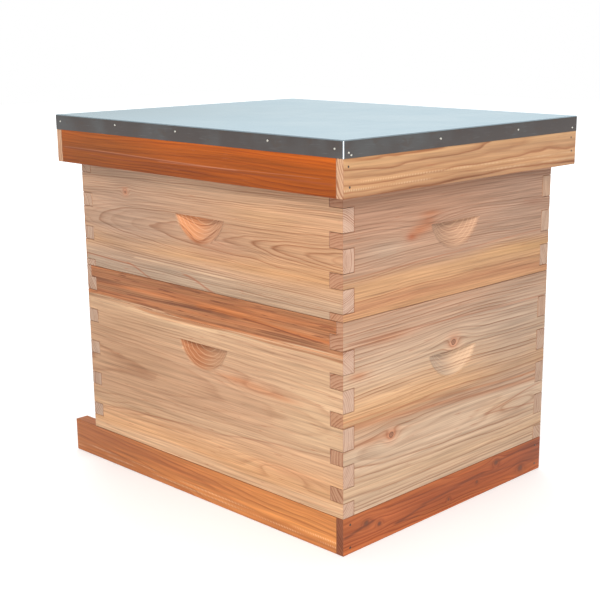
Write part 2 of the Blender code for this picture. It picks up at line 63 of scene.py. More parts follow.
class Shader:
    """One Principled material. Each method adds a node and returns its output socket."""

    def __init__(self, name, roughness, metallic=0.0):
        self.material = bpy.data.materials.new(name)
        self.material.use_nodes = True
        self.tree = self.material.node_tree
        self.surface = self.tree.nodes["Principled BSDF"]
        self.surface.inputs["Roughness"].default_value = roughness
        self.surface.inputs["Metallic"].default_value = metallic

    def add(self, kind):
        return self.tree.nodes.new(kind)

    def feed(self, socket, value):
        """A socket takes another node's output, a number or a colour."""
        if isinstance(value, bpy.types.NodeSocket):
            self.tree.links.new(value, socket)
        elif isinstance(value, (int, float)):
            socket.default_value = value
        else:
            socket.default_value = (*value, 1.0) if len(socket.default_value) == 4 else value

    def math(self, operation, a, b=0.0, c=0.0):
        node = self.add("ShaderNodeMath")
        node.operation = operation
        for socket, value in zip(node.inputs, (a, b, c)):
            self.feed(socket, value)
        return node.outputs[0]

    def times(self, a, b):
        return self.math("MULTIPLY", a, b)

    def plus(self, a, b):
        return self.math("ADD", a, b)

    def minus(self, a, b):
        return self.math("SUBTRACT", a, b)

    def over(self, a, b):
        return self.math("DIVIDE", a, b)

    def times_plus(self, a, b, c):
        return self.math("MULTIPLY_ADD", a, b, c)

    def swing(self, noise, reach, middle=1.0):
        """Noise, which lies round a half, made to swing round another middle."""
        return self.times_plus(self.minus(noise, 0.5), reach, middle)

    def near(self, distance, reach):
        """1 where a distance is nothing, falling off over the reach."""
        share = self.over(distance, reach)
        return self.math("EXPONENT", self.times(self.times(share, share), -1.0))

    def vector(self, x, y, z):
        node = self.add("ShaderNodeCombineXYZ")
        for socket, value in zip(node.inputs, (x, y, z)):
            self.feed(socket, value)
        return node.outputs[0]

    def mix(self, factor, a, b, blend="MIX"):
        node = self.add("ShaderNodeMix")
        node.data_type = "RGBA"
        node.blend_type = blend
        self.feed(node.inputs[0], factor)
        self.feed(node.inputs[6], a)
        self.feed(node.inputs[7], b)
        return node.outputs[2]

    def blend(self, factor, a, b):
        """A number between a and b."""
        node = self.add("ShaderNodeMix")
        node.data_type = "FLOAT"
        for socket, value in zip(node.inputs[0:1] + node.inputs[2:4], (factor, a, b)):
            self.feed(socket, value)
        return node.outputs[0]

    def noise(self, vector, scale=1.0, detail=2.0, roughness=0.5, distortion=0.0):
        node = self.add("ShaderNodeTexNoise")
        self.feed(node.inputs["Vector"], vector)
        node.inputs["Scale"].default_value = scale
        node.inputs["Detail"].default_value = detail
        node.inputs["Roughness"].default_value = roughness
        node.inputs["Distortion"].default_value = distortion
        return node.outputs["Fac"]

    def random(self, value):
        """A fixed random number for each different value."""
        node = self.add("ShaderNodeTexWhiteNoise")
        node.noise_dimensions = "1D"
        self.feed(node.inputs["W"], value)
        return node.outputs["Value"]

    def ramp(self, factor, stops, interpolation="LINEAR"):
        """Grey levels or colours at places from 0 to 1."""
        node = self.add("ShaderNodeValToRGB")
        node.color_ramp.interpolation = interpolation
        elements = node.color_ramp.elements
        while len(elements) < len(stops):
            elements.new(0.5)
        for element, (place, value) in zip(elements, stops):
            element.position = place
            element.color = (value, value, value, 1) if isinstance(value, (int, float)) else (*value, 1)
        self.feed(node.inputs[0], factor)
        return node.outputs[0]

    def step(self, value, low, high):
        """0 below low, 1 above high, and smooth between them."""
        node = self.add("ShaderNodeMapRange")
        node.interpolation_type = "SMOOTHSTEP"
        self.feed(node.inputs["Value"], value)
        self.feed(node.inputs["From Min"], low)
        self.feed(node.inputs["From Max"], high)
        return node.outputs[0]

    def bell(self, u, v, middle, reach):
        """1 in the middle of an oval patch, falling off to 0 outside it."""
        du = self.over(self.minus(u, middle[0]), reach[0])
        dv = self.over(self.minus(v, middle[1]), reach[1])
        square = self.plus(self.times(du, du), self.times(dv, dv))
        return self.math("EXPONENT", self.times(square, -1.0))

    def place(self):
        """The point on the object, as three numbers, and the face's direction."""
        source = self.add("ShaderNodeTexCoord")
        split = self.add("ShaderNodeSeparateXYZ")
        self.feed(split.inputs[0], source.outputs["Object"])
        facing = self.add("ShaderNodeSeparateXYZ")
        self.feed(facing.inputs[0], source.outputs["Normal"])
        return list(split.outputs), list(facing.outputs)

    def finish(self, color, height=None, strength=0.3, distance=0.0005):
        self.feed(self.surface.inputs["Base Color"], color)
        if height is not None:
            bump = self.add("ShaderNodeBump")
            bump.inputs["Strength"].default_value = strength
            bump.inputs["Distance"].default_value = distance
            self.feed(bump.inputs["Height"], height)
            self.feed(self.surface.inputs["Normal"], bump.outputs[0])
        return self.material


def srgb(red, green, blue):
    """A screen colour, 0 to 255, as the linear colour that shaders take."""
    values = []
    for value in (red, green, blue):
        value /= 255
        values.append(value / 12.92 if value <= 0.04045 else ((value + 0.055) / 1.055) ** 2.4)
    return tuple(values)


# ---- Wood ----

# What the darkest growth ring multiplies the wood's own tone by, on faces and in a fresh cut.
RING_DARK = (0.57, 0.40, 0.32)
RING_FRESH = (0.56, 0.42, 0.36)

# How dark the wood is through a year's ring, from one winter to the next.
LATE_WOOD = [(0.0, 0.40), (0.10, 0.0), (0.45, 0.08), (0.74, 0.46), (0.90, 1.0), (1.0, 0.55)]

LINE = srgb(150, 90, 62)
KNOT = srgb(104, 70, 54)
ROSE = srgb(190, 118, 84)
FLAME = srgb(200, 118, 72)
GOLD = srgb(226, 172, 124)
SAP = srgb(200, 170, 144)
TAN = srgb(206, 162, 131)
ROSY = srgb(204, 156, 126)
PALE = srgb(218, 176, 143)
ORANGE = srgb(222, 164, 116)
GREYED = srgb(186, 150, 126)
HEART = srgb(186, 122, 84)
HEART_DARK = srgb(166, 102, 66)
EMBER = srgb(220, 132, 72)
RESIN = srgb(104, 56, 38)
SAWN = srgb(240, 206, 166)
FLECK = srgb(156, 92, 62)
# The colour of the painted shade along the eased edges.
EDGE_SHADE = srgb(128, 82, 58)
# The handhold's cut in two tones, one for each half of the hollow: the lighter is painted light, the darker
# is painted shade.
CUT_LIT_SHADED = (srgb(205, 137, 92), srgb(186, 135, 102))
END_PALE = srgb(188, 148, 118)
END_RED = srgb(122, 72, 50)
END_ON_BACK = srgb(189, 157, 138)
END_FAR = srgb(172, 145, 126)
END_ON_SIDE = srgb(168, 122, 94)

# Half the thickness of a drawn line or a row of saw marks, and how a stroke's ends fade.
LINE_REACH = 0.0011
STROKE_FADE = 0.006

# The handholds: the round cutter's half width at the face, its reach down, its depth, how far below a
# box's top its ledge is, the hollow's middle, and how far from there an edge is still the hollow's own.
HOLD_HALF_WIDTH = 0.049
HOLD_HEIGHT = 0.036
HOLD_DEPTH = 0.012
HOLD_TOP = 0.0725
HOLD_MIDDLE = 0.0895
HOLD_REACH = 0.058


class Board:
    """How a board lies: the axes its grain, width and thickness run along, and where its shown face is."""

    def __init__(self, node, along, across, side=1):
        low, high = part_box(node)
        self.along = along
        self.across = across
        self.depth = X + Y + Z - along - across
        self.middle = [(a + b) / 2 for a, b in zip(low, high)]
        self.size = [b - a for a, b in zip(low, high)]
        self.side = side
        self.face = high[self.depth] if side > 0 else low[self.depth]


def varied(shader, masks, values):
    """One value for each strip of a board, chosen by the masks between them."""
    result = values[0]
    for mask, value in zip(masks, values[1:]):
        if value != values[0] or isinstance(result, bpy.types.NodeSocket):
            result = shader.blend(mask, result, value)
    return result


def scaled(color, shade):
    return tuple(value * share for value, share in zip(color, shade))


class Wood:
    """Solid fir with growth rings round the pith it was sawn from, so that faces, ends and scoops agree."""

    def __init__(self, name, board, tone, strips, seed=0.0, bumps=(), knots=(), patches=(), bands=(),
                 strokes=(), teeth=(), scoop=None, roughness=0.62, fibre=0.30, flecks=0.45, rings=1.50,
                 end_tone=END_PALE, gloss=0.2, cut_lit_shaded=CUT_LIT_SHADED, shade=(1.0, 1.0, 1.0), wander=1.0, halo=ROSE,
                 resin=None):
        self.shader = Shader(name, roughness)
        self.board = board
        self.seed = seed
        self.measure(knots)
        self.grow(strips, bumps, knots, rings, wander)
        self.tint([(at, scaled(color, shade)) for at, color in tone], bands,
                  [(*spot[:4], scaled(spot[4], shade), spot[5]) for spot in patches])
        self.mark(strokes, knots, teeth, halo)
        if resin is not None:
            self.bleed(*resin)
        self.weather(fibre, flecks)
        if scoop is not None:
            self.freshen_and_shade_hollow(scoop, cut_lit_shaded)
        self.show_ends(end_tone)
        self.shader.surface.inputs["Specular IOR Level"].default_value = gloss
        self.material = self.shader.finish(self.color, self.height, 0.35, 0.0004)

    def stain(self, mask, strength, color):
        sh = self.shader
        self.color = sh.mix(sh.times(mask, strength), self.color, color)

    def measure(self, knots):
        """Distances along the grain, across it and under the shown face. Rings bend round each knot."""
        sh = self.shader
        board = self.board
        point, self.facing = sh.place()
        self.l = sh.minus(point[board.along], board.middle[board.along])
        self.w = sh.minus(point[board.across], board.middle[board.across])
        self.t = sh.times(sh.minus(board.face, point[board.depth]), board.side)
        self.bent = self.w
        for along, across, radius in knots:
            pinch = sh.bell(self.l, self.w, (along, across), (radius * 6, radius * 3))
            away = sh.times(sh.minus(self.w, across), sh.times(pinch, 0.8))
            self.bent = sh.minus(self.bent, away)

    def stretched(self, along, across, detail=1.0, roughness=0.5, shift=0.0):
        """Noise drawn out along the grain: how many features in a metre, each way."""
        sh = self.shader
        place = sh.vector(sh.times(sh.plus(self.strip_l, shift), along), sh.times(self.bent, across),
                          sh.times(self.t, across))
        return sh.noise(place, 1.0, detail, roughness)

    def grow(self, strips, bumps, knots, rings, wander):
        """strips: from the top down, (lower edge, pith across, pith depth, tilt, ring width, darkness)."""
        sh = self.shader
        masks = []
        for strip in strips[:-1]:
            masks.append(sh.step(self.w, strip[0] + 0.0002, strip[0] - 0.0002))
        pith_w, pith_t, tilt, ring, dark = (
            varied(sh, masks, [strip[index] for strip in strips]) for index in range(1, 6)
        )
        shift = varied(sh, masks, [index * 0.61 for index in range(len(strips))])
        self.strip_l = sh.plus(sh.plus(self.l, shift), self.seed)
        across = sh.minus(self.bent, pith_w)
        deep = sh.plus(sh.plus(self.t, pith_t), sh.times(self.l, tilt))
        radius = sh.math("SQRT", sh.plus(sh.times(across, across), sh.times(deep, deep)))
        radius = sh.times_plus(self.stretched(2.6, 11), 0.022 * wander, radius)
        radius = sh.times_plus(self.stretched(11, 40, 2.0, shift=3.3), 0.0044, radius)
        round_knots = [(along, place, size * 2.4, size * 1.8, 0.005) for along, place, size in knots]
        for along, place, half_length, half_width, rise in [*bumps, *round_knots]:
            swell = sh.bell(self.l, self.w, (along, place), (half_length, half_width))
            radius = sh.times_plus(swell, rise, radius)
        count = sh.over(radius, ring)
        uneven = sh.noise(sh.vector(sh.times(count, 0.4), self.seed, 0.3), 1.0, 1.0)
        count = sh.times_plus(uneven, 2.0, count)
        season = sh.math("FRACT", count)
        late = sh.ramp(season, LATE_WOOD)
        year = sh.times_plus(sh.random(sh.plus(sh.math("FLOOR", count), self.seed)), 0.75, 0.25)
        fade = sh.step(self.stretched(7, 60, 2.0, shift=9.1), 0.30, 0.62)
        late = sh.times(sh.times(late, year), sh.times_plus(fade, 0.45, 0.55))
        self.late = sh.times(sh.times(late, dark), rings)

    def tint(self, tone, bands, patches):
        """tone: (place across, colour) from the low edge up. bands tint all below a wavy edge."""
        sh = self.shader
        width = self.board.size[self.board.across]
        sway = sh.times(sh.minus(self.stretched(4.0, 8, shift=5.7), 0.5), 0.030)
        place = sh.plus(sh.over(sh.plus(self.w, sway), width), 0.5)
        self.color = sh.ramp(place, [(at / width + 0.5, color) for at, color in tone])
        for along, across, half_length, half_width, color, strength in patches:
            swayed = sh.times_plus(sway, 0.4, self.w)
            self.stain(sh.bell(self.l, swayed, (along, across), (half_length, half_width)), strength, color)
        for edge, slope, wave, color, strength, line in bands:
            bend = sh.noise(sh.vector(sh.times(self.strip_l, 8), edge * 50, 0.5), 1.0, 1.0)
            level = sh.swing(bend, 2 * wave, sh.times_plus(self.l, slope, edge))
            below = sh.minus(level, self.w)
            self.stain(sh.step(below, 0.0, 0.002), strength, color)
            self.stain(sh.near(below, LINE_REACH), line, LINE)
        self.color = sh.mix(self.late, self.color, sh.mix(1.0, self.color, RING_DARK, "MULTIPLY"))
        cloud = sh.swing(self.stretched(2.2, 26, 3.0, 0.6, 7.9), 0.38)
        warm = sh.vector(cloud, sh.math("POWER", cloud, 1.25), sh.math("POWER", cloud, 1.5))
        self.color = sh.mix(1.0, self.color, warm, "MULTIPLY")

    def mark(self, strokes, knots, teeth, halo):
        """strokes: (start, end, across at each, half thickness, colour, strength). teeth: (across, pitch)."""
        sh = self.shader
        for start, end, low, high, reach, color, strength in strokes:
            share = sh.step(self.l, start, end)
            place = sh.times_plus(share, high - low, low)
            inside = sh.times(sh.step(self.l, start - STROKE_FADE, start + STROKE_FADE),
                              sh.step(self.l, end + STROKE_FADE, end - STROKE_FADE))
            self.stain(sh.times(sh.near(sh.minus(self.w, place), reach), inside), strength, color)
        for knot in knots:
            self.draw_knot(*knot, halo)
        for across, pitch in teeth:
            wave = sh.math("SINE", sh.times(self.l, 2 * math.pi / pitch))
            row = sh.times(sh.step(wave, 0.1, 0.6), sh.near(sh.minus(self.w, across), LINE_REACH))
            worn = sh.step(self.stretched(9, 2, shift=across * 100), 0.42, 0.56)
            self.stain(sh.times(row, worn), 0.55, SAWN)

    def draw_knot(self, along, across, size, halo):
        """A knot's ragged core, cracked round its edge, in a tinted ring."""
        sh = self.shader
        du = sh.minus(self.l, along)
        dv = sh.minus(self.w, across)
        ragged = sh.noise(sh.vector(sh.times(du, 190), sh.times(dv, 190), self.seed), 1.0, 2.0)
        squares = sh.plus(sh.times(sh.times(du, du), 0.72), sh.times(dv, dv))
        gap = sh.over(sh.times_plus(ragged, size * 0.45, sh.math("SQRT", squares)), size)
        share = sh.ramp(sh.over(gap, 4.0), [(0.0, 0.9), (0.30, 0.75), (0.45, 0.30), (1.0, 0.0)])
        self.stain(share, 0.75, halo)
        core = sh.ramp(gap, [(0.0, 0.95), (0.30, 0.65), (0.62, 0.45), (0.90, 0.95), (1.0, 0.0)])
        self.color = sh.mix(core, self.color, KNOT)

    def bleed(self, edge, strength):
        """Heartwood above an edge: dark resin in short dashes and long streaks, and redder stripes."""
        sh = self.shader
        dashes = sh.step(self.stretched(20, 360, 2.0, 0.6, 6.6), 0.60, 0.70)
        streaks = sh.step(self.stretched(5, 130, 2.0, 0.6, 1.7), 0.52, 0.64)
        glow = sh.step(self.stretched(4, 110, 1.0, 0.5, 8.3), 0.48, 0.62)
        above = sh.step(self.w, edge, edge + 0.002)
        self.stain(sh.times(glow, above), strength * 0.6, srgb(190, 116, 70))
        self.stain(sh.times(sh.math("MAXIMUM", dashes, sh.times(streaks, 0.7)), above), strength,
                   srgb(100, 54, 36))

    def weather(self, fibre, flecks):
        """Fine fibres, short dark dashes, and painted shade along every eased edge."""
        sh = self.shader
        self.fine = self.stretched(13, 800, 3.0, 0.62)
        coarse = self.stretched(6, 260, 2.0, 0.6, 2.2)
        dark = sh.swing(coarse, fibre * 3.2, sh.swing(self.fine, fibre * 2.4))
        self.color = sh.mix(1.0, self.color, sh.vector(dark, dark, dark), "MULTIPLY")
        self.stain(sh.step(self.stretched(30, 380, 2.0, 0.6, 4.4), 0.645, 0.74), flecks, FLECK)
        sides = [sh.math("ABSOLUTE", value) for value in self.facing]
        squareness = sh.math("MAXIMUM", sides[0], sh.math("MAXIMUM", sides[1], sides[2]))
        # Painted shade: a mask that is 1 on the eased edges, where the face turns away from square.
        self.edge_shade = sh.step(squareness, 0.975, 0.86)
        self.end = sh.step(sides[self.board.along], 0.6, 0.8)

    def freshen_and_shade_hollow(self, scoop, cut_lit_shaded):
        """The scooped handhold is cut into cleaner wood, with the cutter's arcs across it. Its two halves
        along the grain get a lighter and a darker tone: painted light on the half that faces the lamp,
        painted shade on the other.
        """
        sh = self.shader
        inside = sh.step(sh.bell(self.l, self.w, (0.0, scoop), (0.058, 0.034)), 0.25, 0.38)
        # No painted edge shade inside the hollow.
        self.edge_shade = sh.times(self.edge_shade, sh.minus(1.0, inside))
        deep = sh.times(sh.step(self.t, 0.0004, 0.0022), sh.step(self.t, 0.0142, 0.0128))
        # Painted light and painted shade: one tone for each half of the hollow.
        tone = sh.mix(sh.step(self.l, -0.022, 0.022), *cut_lit_shaded)
        rings = sh.math("MINIMUM", sh.times(self.late, 1.3), 1.0)
        cut = sh.mix(rings, tone, sh.mix(1.0, tone, RING_FRESH, "MULTIPLY"))
        turns = sh.math("FRACT", sh.plus(sh.over(self.t, 0.0019), self.stretched(30, 60, 2.0)))
        cut = sh.mix(sh.times(sh.step(turns, 0.72, 0.90), 0.26), cut, srgb(236, 198, 160))
        self.stain(sh.times(deep, inside), 0.85, cut)

    def show_ends(self, end_tone):
        """Sawn ends are paler or darker, with pores and plain rings, and the eased edges get painted shade.
        """
        sh = self.shader
        pores = sh.noise(sh.vector(sh.times(self.w, 900), sh.times(self.t, 900), self.seed), 1.0, 3.0, 0.7)
        rings = sh.math("MINIMUM", sh.times(self.late, 1.7), 1.0)
        ends = sh.mix(0.85, self.color, sh.mix(rings, end_tone, scaled(end_tone, RING_DARK)))
        shade = sh.swing(pores, 0.35)
        ends = sh.mix(1.0, ends, sh.vector(shade, shade, shade), "MULTIPLY")
        self.color = sh.mix(self.end, self.color, ends)
        # Painted shade darkens every eased edge.
        self.stain(self.edge_shade, 0.45, EDGE_SHADE)
        self.height = sh.times_plus(self.late, 0.6, self.fine)
        self.height = sh.times_plus(sh.times(self.end, pores), 1.5, self.height)


# ---- Pieces made from the frame's own boards ----


def shape_mesh(name, shape, recalculate=True):
    """Turns a bmesh into a mesh."""
    if recalculate:
        bmesh.ops.recalc_face_normals(shape, faces=shape.faces)
    mesh = bpy.data.meshes.new(name)
    shape.to_mesh(mesh)
    shape.free()
    return mesh


def skin(shape, rings):
    """Faces from each ring of points to the next, and one across each end."""
    for ring, after in zip(rings, rings[1:]):
        for index in range(len(ring)):
            other = (index + 1) % len(ring)
            shape.faces.new((ring[index], ring[other], after[other], after[index]))
    shape.faces.new(rings[0])
    shape.faces.new(list(reversed(rings[-1])))


def clean_mesh(name, source):
    """A copy of a node's mesh with its triangles joined again into whole flats."""
    shape = bmesh.new()
    shape.from_mesh(source)
    bmesh.ops.remove_doubles(shape, verts=shape.verts, dist=0.000002)
    bmesh.ops.dissolve_limit(shape, angle_limit=math.radians(0.2), verts=shape.verts, edges=shape.edges)
    return shape_mesh(name, shape, False)


def add_piece(name, mesh, material, node):
    """A new piece that moves with a node's body, made of the given material. A mesh that already has its
    materials keeps them."""
    piece = bpy.data.objects.new(name, mesh)
    bpy.context.scene.collection.objects.link(piece)
    if not mesh.materials:
        mesh.materials.append(material)
    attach(piece, BODY_OF[node])
    return piece


def weigh_edges(mesh, keep_out=None):
    """Marks the edges to ease: all the sharp ones, except those of a handhold."""
    shape = bmesh.new()
    shape.from_mesh(mesh)
    weight = shape.edges.layers.float.new("bevel_weight_edge")
    for edge in shape.edges:
        if len(edge.link_faces) != 2 or edge.calc_face_angle() < math.radians(40):
            continue
        middle = (edge.verts[0].co + edge.verts[1].co) / 2
        if keep_out is None or (middle - keep_out).length > HOLD_REACH:
            edge[weight] = 1.0
    shape.to_mesh(mesh)
    shape.free()


def even_normals(piece):
    weighted = piece.modifiers.new("weighted", "WEIGHTED_NORMAL")
    weighted.keep_sharp = True


def ease(piece, width, segments=2):
    bevel = piece.modifiers.new("eased", "BEVEL")
    bevel.width = width
    bevel.segments = segments
    bevel.limit_method = "WEIGHT"
    even_normals(piece)


def scoop_mesh(half_width, height, depth, spare=0.00012):
    """The round cutter's sweep: an arc below, deepest under a flat ledge. It stands in its own middle."""
    face_radius = (half_width**2 + height**2) / (2 * height)
    turn_radius = (depth**2 + half_width**2) / (2 * depth)
    stand_off = turn_radius - depth
    profile = [(stand_off * 0.9, spare)]
    for step in range(29):
        drop = height * math.sin(math.pi / 2 * step / 28)
        half = math.sqrt(max(face_radius**2 - (drop + face_radius - height) ** 2, 0.0))
        profile.append((math.hypot(stand_off, half) + spare, spare - drop * (1 + 2 * spare / height)))
    profile.append((stand_off * 0.9, profile[-1][1]))
    shape = bmesh.new()
    rings = []
    for turn in range(-36, 37):
        angle = math.radians(turn)
        rings.append([shape.verts.new((r * math.cos(angle), r * math.sin(angle), z)) for r, z in profile])
    skin(shape, rings)
    return shape_mesh("scoop", shape), stand_off


def smooth_scoop(mesh, board):
    """Cuts the handhold again with a finer cutter, so that its hollow is smooth."""
    cutter_mesh, stand_off = scoop_mesh(HOLD_HALF_WIDTH, HOLD_HEIGHT, HOLD_DEPTH)
    blank = bpy.data.objects.new("blank", mesh)
    cutter = bpy.data.objects.new("scoop", cutter_mesh)
    place = [0.0, 0.0, board.middle[Z] + board.size[Z] / 2 - HOLD_TOP]
    place[board.depth] = board.face + board.side * stand_off
    place[board.along] = board.middle[board.along]
    cutter.location = place
    inward = {(X, 1): 180, (X, -1): 0, (Y, 1): 270, (Y, -1): 90}[board.depth, board.side]
    cutter.rotation_euler = (0, 0, math.radians(inward))
    for obj in (blank, cutter):
        bpy.context.scene.collection.objects.link(obj)
    boolean = blank.modifiers.new("scoop", "BOOLEAN")
    boolean.operation = "DIFFERENCE"
    boolean.object = cutter
    graph = bpy.context.evaluated_depsgraph_get()
    result = bpy.data.meshes.new_from_object(blank.evaluated_get(graph))
    for obj in (blank, cutter):
        bpy.data.objects.remove(obj)
    return result


def dress(node, material, bevel=0.0006, scooped=None):
    """Stands a board with eased edges in a node's place."""
    mesh = clean_mesh(node + "_look", NODES[node].data)
    hold = None
    if scooped:
        mesh = smooth_scoop(mesh, scooped)
        hold = Vector(scooped.middle)
        hold[scooped.depth] = scooped.face
        hold.z += scooped.size[Z] / 2 - HOLD_MIDDLE
    weigh_edges(mesh, hold)
    mesh.materials.clear()
    mesh.shade_smooth()
    mesh.set_sharp_from_angle(angle=math.radians(24))
    piece = add_piece(node + "_look", mesh, material, node)
    ease(piece, bevel)
    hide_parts(node)
    return piece


# How far the boards on the sides that the photo doesn't show are darkened.
UNSEEN = (0.84, 0.84, 0.82)
